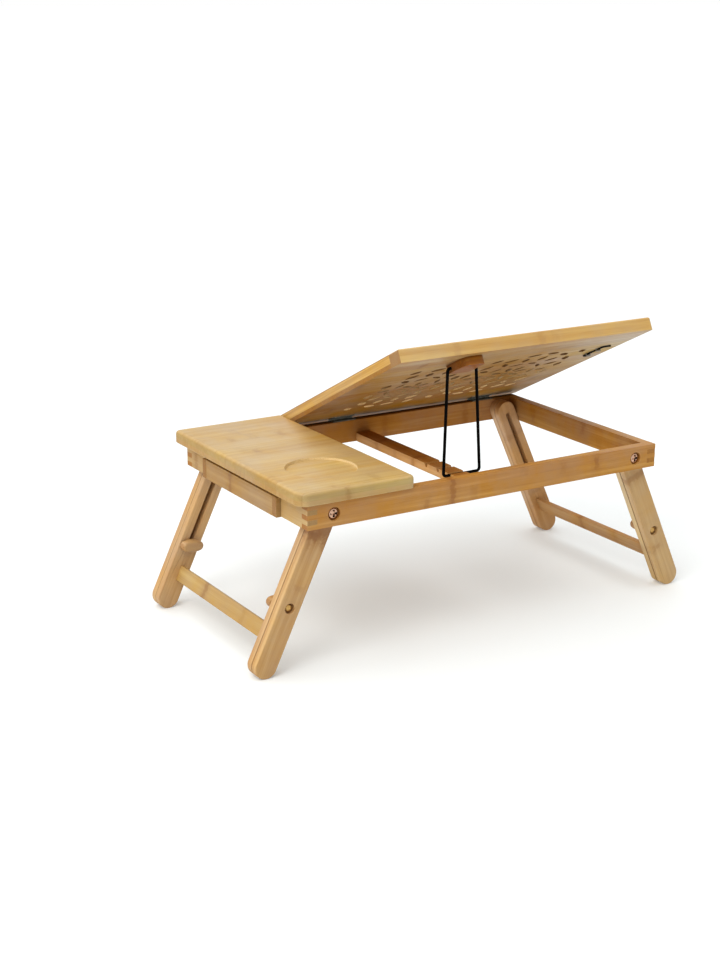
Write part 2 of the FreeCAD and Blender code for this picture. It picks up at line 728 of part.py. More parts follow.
# prop block under the seam of board and strip; the wire's ends turn in its sides
PIVS, PIVN = 244.9, -4.0                    # prop pivot in panel coordinates
BLX, BLW = 0.5, 30.6                        # block centre and width along X
BL0, BL1, BLB = 235.2, 275.2, -8.6          # its ends and its underside
BLS = 270.2                                 # its screws, which run into the strip
blk = new_body("prop_block")
s = sketch(blk, "YZ_Plane", BLX - BLW / 2)
rect(s, BL0, BLB, BL1, KN)
pad(blk, s, BLW)
dress(blk, "Fillet", edges(blk.Shape, lambda p: abs(p.y - BL1) < 1e-6 and (abs(p.x - BLX - BLW / 2) < 1e-6 or abs(p.x - BLX + BLW / 2) < 1e-6)), 12)
dress(blk, "Fillet", edges(blk.Shape, lambda p: abs(p.y - BL0) < 1e-6 and (abs(p.x - BLX - BLW / 2) < 1e-6 or abs(p.x - BLX + BLW / 2) < 1e-6)), 3)
s = sketch(blk, "YZ_Plane", BLX - BLW / 2)
circle(s, PIVS, PIVN, WR + 0.06)
pocket(blk, s)
s = sketch(blk, "XY_Plane", BLB)
circle(s, BLX - 7, BLS, 1.6)
circle(s, BLX + 7, BLS, 1.6)
pocket(blk, s)
put(blk, 0, AXY, AXZ, PANEL_ROT)
bs = turned("block_screw_shape", [(0, BLB), (1.6, BLB), (1.6, 6), (0, 8)])
ax = V(0, AXY.v, AXZ.v)


def on_panel(x, y, z):
    return ax + PANEL_ROT.multVec(V(x, y, z))


pz = PANEL_ROT.multVec(V(0, 0, 1))
group("block_screws", copies(bs, [(tuple(on_panel(BLX + dx, BLS, 0)), tuple(pz)) for dx in (-7, 7)]))
s = sketch(strip, "XY_Plane", KN)
circle(s, BLX - 7, BLS, 1.6)
circle(s, BLX + 7, BLS, 1.6)
pocket(strip, s, 7.2)
sp = []
for xc in HINGE_X:
    for dx in (-10, 10):
        sp.append((tuple(on_panel(xc + dx, 4.8, KN.v - LEAF)), tuple(-pz)))
group("hinge_screws_panel", copies(hs, sp))

# ---------------------------------------------------------------------------
# Bent wires: a round section swept along runs joined by tangent bends
# ---------------------------------------------------------------------------
def bent_wire(label, pts, radii, r, role="XZ_Plane", sect="YZ_Plane"):
    """pts are points in the sketch plane; the first run is along local x."""
    b = new_body(label)
    path = sketch(b, role)
    cur = V(pts[0][0], pts[0][1], 0)
    segs = []
    for i in range(1, len(pts) - 1):
        a, c, d = V(*pts[i - 1], 0), V(*pts[i], 0), V(*pts[i + 1], 0)
        u, w = (a - c), (d - c)
        u.normalize()
        w.normalize()
        half = u.getAngle(w) / 2
        rad = radii[i - 1]
        t = rad / math.tan(half)
        p, e = c + u * t, c + w * t
        bis = (u + w)
        bis.normalize()
        cen = c + bis * (rad / math.sin(half))
        mid = cen - bis * rad
        segs.append(Part.LineSegment(cur, p))
        segs.append(Part.Arc(p, mid, e))
        cur = e
    segs.append(Part.LineSegment(cur, V(pts[-1][0], pts[-1][1], 0)))
    for g in segs:
        path.addGeometry(g, False)
    sec = sketch(b, sect, pts[0][0])
    if role == "XY_Plane":
        circle(sec, pts[0][1], 0, r)
    else:
        circle(sec, 0, pts[0][1], r)
    f = b.newObject("PartDesign::AdditivePipe", "Pipe")
    f.Profile = sec
    f.Spine = path
    f.Transition = "Round corner"
    doc.recompute()
    length = sum(g.length() for g in segs)
    want = math.pi * q(r).v ** 2 * length
    if not f.Shape.isValid() or abs(f.Shape.Volume - want) > 0.03 * want:
        raise SystemExit("wire %s: volume %.1f, expected %.1f" % (label, f.Shape.Volume, want))
    return b


pivot = on_panel(0, PIVS, PIVN)
seat = V(0, SEATY, SEATZ)
down = seat - pivot
reach = down.Length
lean = math.degrees(math.atan2(down.y, -down.z))    # from straight down
TH, BH = 19.4, 25.2                          # half spacing at the pivots and at the foot
prop = bent_wire(
    "prop_wire",
    [(BLX - 9.0, 0), (BLX - TH, 0), (BLX - 6.5 - BH, -reach), (BLX - 6.5 + BH, -reach), (BLX + TH, 0), (BLX + 9.0, 0)],
    [3.2, 3.8, 3.8, 3.2], WR)
put(prop, 0, pivot.y, pivot.z, ROT(V(1, 0, 0), lean))

clip = bent_wire(
    "underside_wire_clip",
    [(-228.5, 187.5), (-217.0, 187.5), (-217.0, 229.0), (-228.5, 229.0)],
    [2.6, 2.6], 1.0, "XY_Plane", "YZ_Plane")
cp = on_panel(0, 0, KN.v - 1.0 - 0.3)
put(clip, cp.x, cp.y, cp.z, PANEL_ROT)
shapes = []
for sy in (198.0, 218.5):
    leg1 = Part.makeBox(1.6, 1.2, 7.4, V(-0.8, -3.2, -2.8))
    leg2 = Part.makeBox(1.6, 1.2, 7.4, V(-0.8, 2.0, -2.8))
    bar = Part.makeBox(1.6, 6.4, 1.0, V(-0.8, -3.2, -3.8))
    st = leg1.fuse(leg2).fuse(bar).removeSplitter()
    st.rotate(V(0, 0, 0), V(0, 0, 1), 90)
    st.translate(V(-217.0, sy, KN.v))
    shapes.append(st)
# slots in the board for the staples' legs
s = sketch(board, "XY_Plane", KN)
for sy in (198.0, 218.5):
    for dx in (-2.6, 2.6):
        rect(s, -217.0 + dx - 0.6, sy - 0.8, -217.0 + dx + 0.6, sy + 0.8)
pocket(board, s, 4.6)
placed = []
for st in shapes:
    st.Placement = FreeCAD.Placement(ax, PANEL_ROT).multiply(st.Placement)
    placed.append(st)
group("clip_staples", placed)

# ---------------------------------------------------------------------------
# Legs. Each is two boards side by side: the upper board turns on a bolt in
# the long rail; the slotted slider lies inside it and is clamped by a carriage
# bolt with a wing knob. Local origin is the pivot, the board hangs along -z.
# ---------------------------------------------------------------------------
HW = LW / 2
BART, BARW = 5.5, 18.5                      # crossbar section, across and along the leg
BARX, BARZ = BART / 2, -148.25              # its centre from the leg's middle line and pivot


def leg_place(side, y):
    """side is +1 at the drawer end; the feet splay outwards."""
    return side * (HALF - (PIN if side > 0 else PINL)), y, ZF + PZ, ROT(V(0, 1, 0), -side * SPL.v)


def along(side, u, v=0.0):
    """A point u down the leg and v across it towards the middle, row X and Z."""
    a = math.radians(SPL.v)
    x = side * (HALF.v - (PIN if side > 0 else PINL).v + u * math.sin(a) - v * math.cos(a))
    z = ZF.v + PZ.v - u * math.cos(a) - v * math.sin(a)
    return x, z


def leg_board(label, side, rear, slider):
    b = new_body(label)
    s = sketch(b, "XZ_Plane")
    top = (-7.5 if slider else -3.3) if rear else 0     # rear boards stop lower
    slot(s, 0, top, -LL, HW)
    pad(b, s, LT)
    rim = edges(b.Shape, lambda p: abs(p.y) < 1e-6) + edges(b.Shape, lambda p: abs(p.y + LT.v) < 1e-6)
    dress(b, "Fillet", rim, 1.1)
    outer = q(0) if rear else LT            # sketch offset of the outer face
    inner = LT if rear else q(0)
    if slider:
        s = sketch(b, "XZ_Plane")
        slot(s, 0, -5.7, -LOCK - 0.1, SLW)
        pocket(b, s)
        s = sketch(b, "XZ_Plane", outer)
        circle(s, -side * BARX, BARZ, 1.2)
        pocket(b, s)
    else:
        s = sketch(b, "XZ_Plane")
        circle(s, 0, 0, 2.55)
        circle(s, 0, -LOCK, BR)
        pocket(b, s)
        s = sketch(b, "XZ_Plane", outer)
        circle(s, 0, -LOCK, 5.9)
        pocket(b, s, 4.6)
        s = sketch(b, "XZ_Plane", inner)
        circle(s, 0, 0, 5.3)
        pocket(b, s, 4.5)
    off = LGAP + (LT + BGAP if slider else 0)
    y = REAR - RT - off if rear else FRONT + RT + off + LT
    x, y, z, r = leg_place(side, y)
    put(b, x, y, z, r)
    return b


CAP = 4.0
bolt = turned("lock_bolt_shape", [
    (0, 1.0), (1.6, 1.1), (3.0, 1.6), (3.9, 2.3), (4.4, 3.2), (4.5, CAP), (BR, CAP), (BR, 26.2), (BR.v - 0.6, 26.8), (0, 26.8)])
washer = turned("lock_washer_shape", [(BR, 0), (7.2, 0), (7.2, 1.0), (BR, 1.0)])
wood_screw = turned("crossbar_screw_shape", [(0, 0), (1.2, 0), (1.2, 26), (0, 29)])

KNOB_TURN = {("right", "rear"): 17.0, ("right", "front"): 21.0, ("left", "rear"): -44.0, ("left", "front"): -19.0}
for name, side in (("right", 1), ("left", -1)):
    bolts, washers, screws = [], [], []
    for row, rear in (("front", False), ("rear", True)):
        leg_board("leg_upper_%s_%s" % (name, row), side, rear, False)
        leg_board("leg_slider_%s_%s" % (name, row), side, rear, True)
        inw = -1 if rear else 1             # inwards along Y
        face = REAR.v - RT.v - LGAP.v if rear else FRONT.v + RT.v + LGAP.v
        x, z = along(side, LOCK.v)
        bolts.append(((x, face + inw * 0.6, z), (0, inw, 0)))
        inner_face = face + inw * (2 * LT.v + BGAP.v)
        washers.append(((x, inner_face + inw * 0.1, z), (0, inw, 0)))
        bx, bz = along(side, -BARZ, BARX)
        screws.append(((bx, inner_face - inw * LT.v, bz), (0, inw, 0)))
        # wing knob
        k = new_body("lock_knob_%s_%s" % (name, row))
        s = sketch(k, "XZ_Plane")
        for a, b, c in (((-9.3, 5.6), (0, 7.04), (9.3, 5.6)), ((9.3, 5.6), (13.4, 0), (9.3, -5.6)),
                        ((9.3, -5.6), (0, -7.04), (-9.3, -5.6)), ((-9.3, -5.6), (-13.4, 0), (-9.3, 5.6))):
            s.addGeometry(Part.Arc(V(*a, 0), V(*b, 0), V(*c, 0)), False)
        pad(k, s, KT)
        out_y = -KT.v if rear else 0.0
        dress(k, "Fillet", edges(k.Shape, lambda p: abs(p.y - out_y) < 1e-6), 3.4)
        in_y = 0.0 if rear else -KT.v
        dress(k, "Fillet", edges(k.Shape, lambda p: abs(p.y - in_y) < 1e-6), 1.0)
        s = sketch(k, "XZ_Plane", 0 if rear else KT)
        circle(s, 0, 0, BR + 0.05)
        pocket(k, s, 7.4)
        ky = inner_face + inw * 1.2 + (0 if rear else KT.v)
        put(k, x, ky, z, ROT(V(0, 1, 0), -side * SPL.v + KNOB_TURN[(name, row)]))
    group("lock_bolts_" + name, copies(bolt, bolts))
    group("lock_washers_" + name, copies(washer, washers))
    # crossbar between the two sliders
    bar = new_body("crossbar_" + name)
    clear = RT + LGAP + LT * 2 + BGAP
    s = sketch(bar, "XZ_Plane")
    lo, hi = BARZ - BARW / 2, BARZ + BARW / 2
    if side > 0:
        rect(s, -BART, lo, 0, hi)
    else:
        rect(s, 0, lo, BART, hi)
    pad(bar, s, WID - clear * 2)
    span = WID.v - clear.v * 2
    dress(bar, "Fillet", edges(bar.Shape, lambda p: (abs(p.x) < 1e-6 or abs(abs(p.x) - BART) < 1e-6) and
          (abs(p.z - lo) < 1e-6 or abs(p.z - hi) < 1e-6)), 1.0)
    for off in (0, WID - clear * 2):
        s = sketch(bar, "XZ_Plane", off)
        circle(s, -side * BARX, BARZ, 1.2)
        pocket(bar, s, 20)
    x, y, z, r = leg_place(side, REAR - clear)
    put(bar, x, y, z, r)
    group("crossbar_screws_" + name, copies(wood_screw, screws))

# pivot bolts and the round nuts sunk in the upper boards
pb = crossed("pivot_bolt", turned("pivot_bolt_shape", [
    (0, 0), (3.2, 0.2), (5.1, 0.9), (5.9, 1.9), (5.9, 3.2), (2.5, 3.2), (2.5, 20.6), (0, 20.6)]), 8.4, 2.6, 2.5, 0)
pn = turned("pivot_nut_shape", [(2.5, 0), (5.1, 0), (5.1, 3.9), (2.5, 3.9)])
pbs, pns = [], []
for side in (1, -1):
    for rear in (False, True):
        inw = -1 if rear else 1
        y0 = REAR.v if rear else FRONT.v
        x, z = side * (HALF.v - (PIN if side > 0 else PINL).v), ZF.v + PZ.v
        pbs.append(((x, y0 + inw * 0.8, z), (0, inw, 0)))
        y1 = y0 + inw * (RT.v + LGAP.v + LT.v - 4.3)
        pns.append(((x, y1, z), (0, inw, 0)))
group("leg_pivot_bolts", copies(pb, pbs))
group("leg_pivot_nuts", copies(pn, pns))

# ---------------------------------------------------------------------------
# Check every object, then write one file for each sub-part
# ---------------------------------------------------------------------------
doc.recompute()
bad = [o.Label for o in doc.Objects if "Invalid" in o.State or "Error" in o.State]
if bad:
    raise SystemExit("objects in error: %s" % bad)
os.makedirs("parts", exist_ok=True)
lo, hi = [1e9] * 3, [-1e9] * 3
for label, obj in nodes:
    sh = obj.Shape
    if sh.isNull() or not sh.isValid() or not sh.Solids:
        raise SystemExit("bad shape: " + label)
    bb = sh.BoundBox
    for i, (a, b) in enumerate(((bb.XMin, bb.XMax), (bb.YMin, bb.YMax), (bb.ZMin, bb.ZMax))):
        lo[i], hi[i] = min(lo[i], a), max(hi[i], b)
    sh.exportStep("parts/%s.step" % label)
print(len(nodes), "sub-parts; box", [round(v, 2) for v in lo], [round(v, 2) for v in hi])
print("prop reach %.2f lean %.2f pivot %s seat %s" % (reach, lean, tuple(round(c, 2) for c in pivot), (round(SEATY, 2), round(SEATZ, 2))))
print("axis y %.2f z %.2f, frame underside %.2f" % (AXY.v, AXZ.v, ZF.v))
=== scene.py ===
import json
import math

import bpy
from mathutils import Euler, Matrix, Vector

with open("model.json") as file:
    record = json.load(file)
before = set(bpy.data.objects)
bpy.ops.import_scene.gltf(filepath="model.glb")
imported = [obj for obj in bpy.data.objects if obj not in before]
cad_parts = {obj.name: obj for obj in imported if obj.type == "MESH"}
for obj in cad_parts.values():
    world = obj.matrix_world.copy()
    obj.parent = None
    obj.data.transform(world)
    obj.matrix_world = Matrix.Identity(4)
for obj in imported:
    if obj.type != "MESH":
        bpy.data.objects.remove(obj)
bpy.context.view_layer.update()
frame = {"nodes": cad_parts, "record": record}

nodes = frame["nodes"]

# ---------------------------------------------------------------------------
# Key places of the part, in metres, in the CAD's frame
# ---------------------------------------------------------------------------
SPLAY = math.radians(25)
TILT = math.radians(26.8)
REAR = 0.14849                              # rear rail's outer face
ZF = 0.18 * math.cos(SPLAY) + 0.01315 - 0.01375
AXIS = Vector((0, REAR - 0.285 + 0.0011, ZF + 0.0275 + 0.0011))


# ---------------------------------------------------------------------------
# Node helpers
# ---------------------------------------------------------------------------
class Tree:
    """A short way to write shader nodes."""

    def __init__(self, name):
        self.mat = bpy.data.materials.new(name)
        self.mat.use_nodes = True
        self.t = self.mat.node_tree
        self.t.nodes.clear()
        self.out = self.t.nodes.new("ShaderNodeOutputMaterial")

    def node(self, kind, **props):
        n = self.t.nodes.new(kind)
        for k, v in props.items():
            setattr(n, k, v)
        return n

    def link(self, a, b):
        self.t.links.new(a, b)

    def put(self, sock, v):
        if isinstance(v, bpy.types.NodeSocket):
            self.link(v, sock)
        else:
            sock.default_value = v

    def math(self, op, a, b=None, c=None, clamp=False):
        n = self.node("ShaderNodeMath", operation=op, use_clamp=clamp)
        self.put(n.inputs[0], a)
        if b is not None:
            self.put(n.inputs[1], b)
        if c is not None:
            self.put(n.inputs[2], c)
        return n.outputs[0]

    def vec(self, op, a, b=None):
        n = self.node("ShaderNodeVectorMath", operation=op)
        self.put(n.inputs[0], a)
        if b is not None:
            self.put(n.inputs[1], b)
        return n.outputs[0]

    def combine(self, x, y, z):
        n = self.node("ShaderNodeCombineXYZ")
        for s, v in zip(n.inputs, (x, y, z)):
            self.put(s, v)
        return n.outputs[0]

    def split(self, v):
        n = self.node("ShaderNodeSeparateXYZ")
        self.put(n.inputs[0], v)
        return n.outputs

    def noise(self, v, scale=1.0, detail=2.0, rough=0.5, distortion=0.0):
        n = self.node("ShaderNodeTexNoise", noise_dimensions="3D")
        self.put(n.inputs["Vector"], v)
        n.inputs["Scale"].default_value = scale
        n.inputs["Detail"].default_value = detail
        n.inputs["Roughness"].default_value = rough
        n.inputs["Distortion"].default_value = distortion
        return n.outputs["Fac"]

    def white(self, v):
        n = self.node("ShaderNodeTexWhiteNoise", noise_dimensions="3D")
        self.put(n.inputs["Vector"], v)
        return n.outputs["Value"]

    def step(self, v, lo, hi, a=0.0, b=1.0):
        """Smooth change from a to b as v goes from lo to hi."""
        n = self.node("ShaderNodeMapRange", interpolation_type="SMOOTHSTEP")
        self.put(n.inputs["Value"], v)
        n.inputs["From Min"].default_value = lo
        n.inputs["From Max"].default_value = hi
        n.inputs["To Min"].default_value = a
        n.inputs["To Max"].default_value = b
        return n.outputs["Result"]

    def mix(self, fac, a, b, blend="MIX"):
        n = self.node("ShaderNodeMix", data_type="RGBA", blend_type=blend)
        self.put(n.inputs["Factor"], fac)
        for sock, v in ((n.inputs[6], a), (n.inputs[7], b)):
            if isinstance(v, bpy.types.NodeSocket):
                self.link(v, sock)
            else:
                sock.default_value = (*v, 1) if len(v) == 3 else v
        return n.outputs[2]

    def hsv(self, col, hue=0.5, sat=1.0, val=1.0):
        n = self.node("ShaderNodeHueSaturation")
        for k, v in (("Hue", hue), ("Saturation", sat), ("Value", val)):
            self.put(n.inputs[k], v)
        self.put(n.inputs["Color"], col)
        return n.outputs["Color"]


def srgb(r, g, b):
    """Linear colour from an 8-bit one."""
    return tuple(((c / 255 + 0.055) / 1.055) ** 2.4 if c > 10 else c / 255 / 12.92 for c in (r, g, b))


# ---------------------------------------------------------------------------
# Bamboo: glued strips with long fibres, growth nodes and dotted end grain
# ---------------------------------------------------------------------------
def bamboo(name, light, dark, origin=(0, 0, 0), turn=(0, 0, 0), along="x", strip=0.021, layer=0.0055,
           seed=0.0, node_every=0.26, node_amount=1.0, contrast=1.0, gloss=0.42, streak=1.0, warm=0.5,
           coat=0.15, painted_light=None, centred=False, spots=(), ply=None, bands=(), end_dark=(0.92, 0.88, 0.80), end_amount=0.72,
           spec=0.4, gap_shade=(), cut_wall_light=None, corner_shade=0.55, shade=None, vary=1.0, dull=0.85, upper=None):
    """light and dark are the fibre colours; origin and turn bring the piece
    to a straight position; along is the grain's direction there. painted_light is
    (direction, colour, a second colour between two places along the grain,
    and such a pair again between two places across it): painted light and
    shade multiplied into the face that looks that way.
    spots are growth nodes at known places: ((u, half), (v, half), (w, half),
    strength), with None for a direction it runs right through; some broad ones
    stand partly for painted shade. ply is the
    middle layer of three, laid crosswise. bands are (w from, w to, colour)
    seen on the side faces. gap_shade is (w, half width, depth) of painted
    shade in the gaps between boards or parts. cut_wall_light is (u from, u to, v from, v to, near, far):
    painted light and shade on the walls of cut-outs within that field, from the
    near colour to the far one. shade is (v from, v to, darkening): painted shade
    in a covered strip of a face that looks up. corner_shade is the strength of
    painted shade in hollows and inner corners. dull is how much of its shine
    the face with painted light loses; upper is painted light, a tint on the face that looks up."""
    t = Tree(name)
    tc = t.node("ShaderNodeTexCoord")
    back = Euler(turn).to_matrix().inverted()
    e = back.to_euler()
    off = -(back @ Vector(origin))
    mp = t.node("ShaderNodeMapping", vector_type="POINT")
    t.link(tc.outputs["Object"], mp.inputs["Vector"])
    mp.inputs["Rotation"].default_value = e
    mp.inputs["Location"].default_value = off
    mn = t.node("ShaderNodeMapping", vector_type="VECTOR")
    t.link(tc.outputs["Normal"], mn.inputs["Vector"])
    mn.inputs["Rotation"].default_value = e
    px, py, pz = t.split(mp.outputs[0])
    nx, ny, nz = t.split(mn.outputs[0])
    if along == "x":
        u, v, w, nu, nw = px, py, pz, nx, nz
    elif along == "y":
        u, v, w, nu, nw = py, px, pz, ny, nz
    else:
        u, v, w, nu, nw = pz, px, py, nz, ny
    # slow wander so that strip borders and fibres aren't ruler straight
    wander = t.noise(t.combine(t.math("MULTIPLY", u, 3.0), t.math("MULTIPLY", v, 9.0), t.math("ADD", w, seed)), 1.0, 2.0)
    wv = t.math("MULTIPLY_ADD", t.math("SUBTRACT", wander, 0.5), 0.0012, v)
    # strips and layers
    sv = t.math("ADD", t.math("DIVIDE", v, strip), 7.5) if centred else t.math("DIVIDE", t.math("ADD", v, 0.37 + seed * 0.013), strip)
    lw = t.math("DIVIDE", t.math("ADD", w, 0.5), layer)
    si, li = t.math("FLOOR", sv), t.math("FLOOR", lw)
    sf, lf = t.math("FRACT", sv), t.math("FRACT", lw)
    rnd = t.white(t.combine(si, li, seed))
    rnd2 = t.white(t.combine(t.math("ADD", si, 31.7), li, seed + 5.0))
    # strips butt end to end here and there, so the colour changes along too
    su = t.math("ADD", t.math("DIVIDE", u, 0.85), t.math("MULTIPLY", rnd2, 7.0))
    rnd3 = t.white(t.combine(si, t.math("FLOOR", su), t.math("ADD", li, seed)))
    tone = t.math("ADD", t.math("MULTIPLY", rnd, 0.5), t.math("MULTIPLY", rnd3, 0.5))
    # fibres: long streaks at three widths
    f1 = t.noise(t.combine(t.math("MULTIPLY", u, 5.0), t.math("MULTIPLY", wv, 170.0), t.math("MULTIPLY_ADD", w, 170.0, t.math("MULTIPLY", rnd, 40.0))), 1.0, 3.0, 0.6)
    f2 = t.noise(t.combine(t.math("MULTIPLY", u, 16.0), t.math("MULTIPLY", wv, 900.0), t.math("MULTIPLY_ADD", w, 900.0, seed)), 1.0, 2.0, 0.6)
    f3 = t.noise(t.combine(t.math("MULTIPLY", u, 45.0), t.math("MULTIPLY", wv, 2600.0), t.math("MULTIPLY", w, 2600.0)), 1.0, 1.0, 0.5)
    broad = t.noise(t.combine(t.math("MULTIPLY", u, 6.0), t.math("MULTIPLY", v, 18.0), t.math("MULTIPLY_ADD", w, 18.0, seed * 3.1)), 1.0, 3.0, 0.55)
    dash = t.math("MULTIPLY", t.step(f2, 0.56, 0.70), t.step(f1, 0.40, 0.62))
    # growth nodes: a brown band right across one strip, feathered by fibres
    nodepos = t.math("ADD", t.math("DIVIDE", u, node_every), t.math("MULTIPLY", rnd, 9.0))
    nr = t.white(t.combine(si, li, t.math("FLOOR", nodepos)))
    wig = t.math("MULTIPLY", t.math("SUBTRACT", f1, 0.5), 0.018)
    d = t.math("ABSOLUTE", t.math("ADD", t.math("SUBTRACT", t.math("FRACT", nodepos), 0.5), wig))
    half = 0.0058 / node_every
    band = t.step(d, half * 0.45, half * 1.25, 1.0, 0.0)
    halo = t.step(d, half * 0.9, half * 3.4, 1.0, 0.0)
    rim = t.math("MULTIPLY", t.step(d, half * 0.9, half * 1.3, 0.0, 1.0), t.step(d, half * 1.3, half * 2.1, 1.0, 0.0))
    show = t.math("MULTIPLY", t.step(nr, 0.30, 0.62), node_amount)
    patch = t.step(t.noise(t.combine(t.math("MULTIPLY", u, 110.0), t.math("MULTIPLY", v, 120.0), t.math("MULTIPLY_ADD", w, 120.0, seed)), 1.0, 3.0), 0.36, 0.60, 0.15, 1.0)
    nodem = t.math("MULTIPLY", t.math("MULTIPLY", band, show), patch)
    halom = t.math("MULTIPLY", halo, show)
    # colour
    base = t.mix(t.step(t.math("ADD", t.math("MULTIPLY", f1, 0.55 * streak), t.math("MULTIPLY", broad, 0.45)), 0.30, 0.62), light, dark)
    base = t.hsv(base, t.math("MULTIPLY_ADD", rnd3, 0.012 * vary, 0.5 - 0.006 * vary), t.math("MULTIPLY_ADD", rnd2, 0.16 * vary, 1.0 - 0.08 * vary), t.math("MULTIPLY_ADD", tone, 0.22 * contrast, 1.0 - 0.11 * contrast))
    brown = tuple(c * k for c, k in zip(dark, (0.66, 0.52, 0.38)))
    deep = tuple(c * k for c, k in zip(dark, (0.46, 0.31, 0.19)))
    base = t.mix(t.math("MULTIPLY", dash, 0.30 * streak), base, brown)
    base = t.mix(t.math("MULTIPLY", t.step(f3, 0.42, 0.72), 0.14), base, brown)
    base = t.mix(t.math("MULTIPLY", halom, 0.16), base, brown)
    base = t.mix(t.math("MULTIPLY", t.math("MULTIPLY", rim, show), 0.20), base, light)
    base = t.mix(t.math("MULTIPLY", nodem, 0.58), base, deep)
    # growth nodes at their own places, feathered along the fibres
    rust = tuple(c * k for c, k in zip(dark, (0.60, 0.44, 0.31)))
    if spots:
        blot = t.noise(t.combine(t.math("MULTIPLY", u, 170.0), t.math("MULTIPLY", v, 170.0), t.math("MULTIPLY_ADD", w, 170.0, seed)), 1.0, 3.0, 0.6)
        blot = t.math("MULTIPLY", t.math("SUBTRACT", blot, 0.5), 2.2)
    for su_, sv_, sw_, strength in spots:
        far = t.math("DIVIDE", t.math("ABSOLUTE", t.math("ADD", t.math("SUBTRACT", u, su_[0]), t.math("MULTIPLY", wig, 0.22))), su_[1])
        for c, lim in ((v, sv_), (w, sw_)):
            if lim:
                far = t.math("MAXIMUM", far, t.math("DIVIDE", t.math("ABSOLUTE", t.math("SUBTRACT", c, lim[0])), lim[1]))
        ring = t.step(far, 0.9, 2.8, 1.0, 0.0)
        body = t.step(t.math("ADD", far, blot), 0.25, 1.15, 1.0, 0.0)
        base = t.mix(t.math("MULTIPLY", ring, 0.30 * strength), base, rust)
        base = t.mix(t.math("MULTIPLY", body, strength), base, rust)
    # glue lines between strips and layers
    gl = t.step(t.math("ABSOLUTE", t.math("SUBTRACT", sf, 0.5)), 0.5 - 0.00045 / strip, 0.5 - 0.0001 / strip)
    gw = t.step(t.math("ABSOLUTE", t.math("SUBTRACT", lf, 0.5)), 0.5 - 0.0004 / layer, 0.5 - 0.0001 / layer)
    glue = t.math("MAXIMUM", gl, t.math("MULTIPLY", gw, 0.8))
    base = t.mix(t.math("MULTIPLY", glue, 0.28), base, brown)
    # end grain: darker, with the dots of cut fibre bundles
    end = t.step(t.math("ABSOLUTE", nu), 0.55, 0.9)
    side = t.step(t.math("ABSOLUTE", nw), 0.35, 0.7, 1.0, 0.0)
    if ply:
        core = t.math("MULTIPLY", t.step(w, ply[0], ply[0] + 0.0002), t.step(w, ply[1], ply[1] + 0.0002, 1.0, 0.0))
        end = t.math("MULTIPLY", end, t.math("MULTIPLY_ADD", core, -0.95, 1.0))
        across = t.noise(t.combine(t.math("MULTIPLY", u, 320.0), t.math("MULTIPLY", v, 7.0), t.math("MULTIPLY", w, 420.0)), 1.0, 3.0, 0.6)
        base = t.mix(t.math("MULTIPLY", core, side), base, t.mix(t.step(across, 0.32, 0.66), light, dark))
    dots = t.noise(t.combine(t.math("MULTIPLY", u, 60.0), t.math("MULTIPLY", v, 1500.0), t.math("MULTIPLY", w, 1500.0)), 1.0, 1.0, 0.4)
    endc = t.mix(t.step(dots, 0.50, 0.66), tuple(c * k for c, k in zip(dark, end_dark)), deep)
    base = t.mix(t.math("MULTIPLY", end, end_amount), base, endc)
    for lo, hi, col in bands:
        m = t.math("MULTIPLY", t.step(w, lo - 0.0002, lo + 0.0002), t.step(w, hi - 0.0002, hi + 0.0002, 1.0, 0.0))
        base = t.mix(t.math("MULTIPLY", m, side), base, t.mix(1.0, base, col, "MULTIPLY"))
    # painted light and shade on the walls of cut-outs, from the near colour to the far one
    if cut_wall_light:
        field = t.math("MULTIPLY", t.math("MULTIPLY", t.step(u, cut_wall_light[0], cut_wall_light[0] + 0.002), t.step(u, cut_wall_light[1] - 0.002, cut_wall_light[1], 1.0, 0.0)),
                       t.math("MULTIPLY", t.step(v, cut_wall_light[2], cut_wall_light[2] + 0.002), t.step(v, cut_wall_light[3] - 0.002, cut_wall_light[3], 1.0, 0.0)))
        wall_light = t.mix(t.step(v, cut_wall_light[2] + 0.03, cut_wall_light[3] - 0.06), cut_wall_light[4], cut_wall_light[5])
        wall_light = t.mix(t.math("MULTIPLY", t.step(dots, 0.45, 0.7), 0.3), wall_light, brown)
        base = t.mix(t.math("MULTIPLY", t.math("MULTIPLY", field, side), 0.92), base, wall_light)
    # painted light: the face that looks up is tinted lighter and cooler
    if upper:
        base = t.mix(t.step(nz, 0.5, 0.8), base, t.mix(1.0, base, upper, "MULTIPLY"))
    if shade:
        lid = t.math("MULTIPLY", t.step(nz, 0.5, 0.8), t.step(v, shade[0], shade[1], 1.0, 0.0))
        base = t.mix(lid, base, t.mix(1.0, base, (shade[2],) * 3, "MULTIPLY"))
        dry = t.step(nz, 0.5, 0.8)
    # painted shade: dark lines in the gaps between boards or parts
    for at, wide, strength in gap_shade:
        m = t.step(t.math("ABSOLUTE", t.math("SUBTRACT", w, at)), wide * 0.35, wide, 1.0, 0.0)
        base = t.mix(t.math("MULTIPLY", m, strength), base, tuple(c * k for c, k in zip(deep, (0.45, 0.42, 0.4))))
    shine = spec
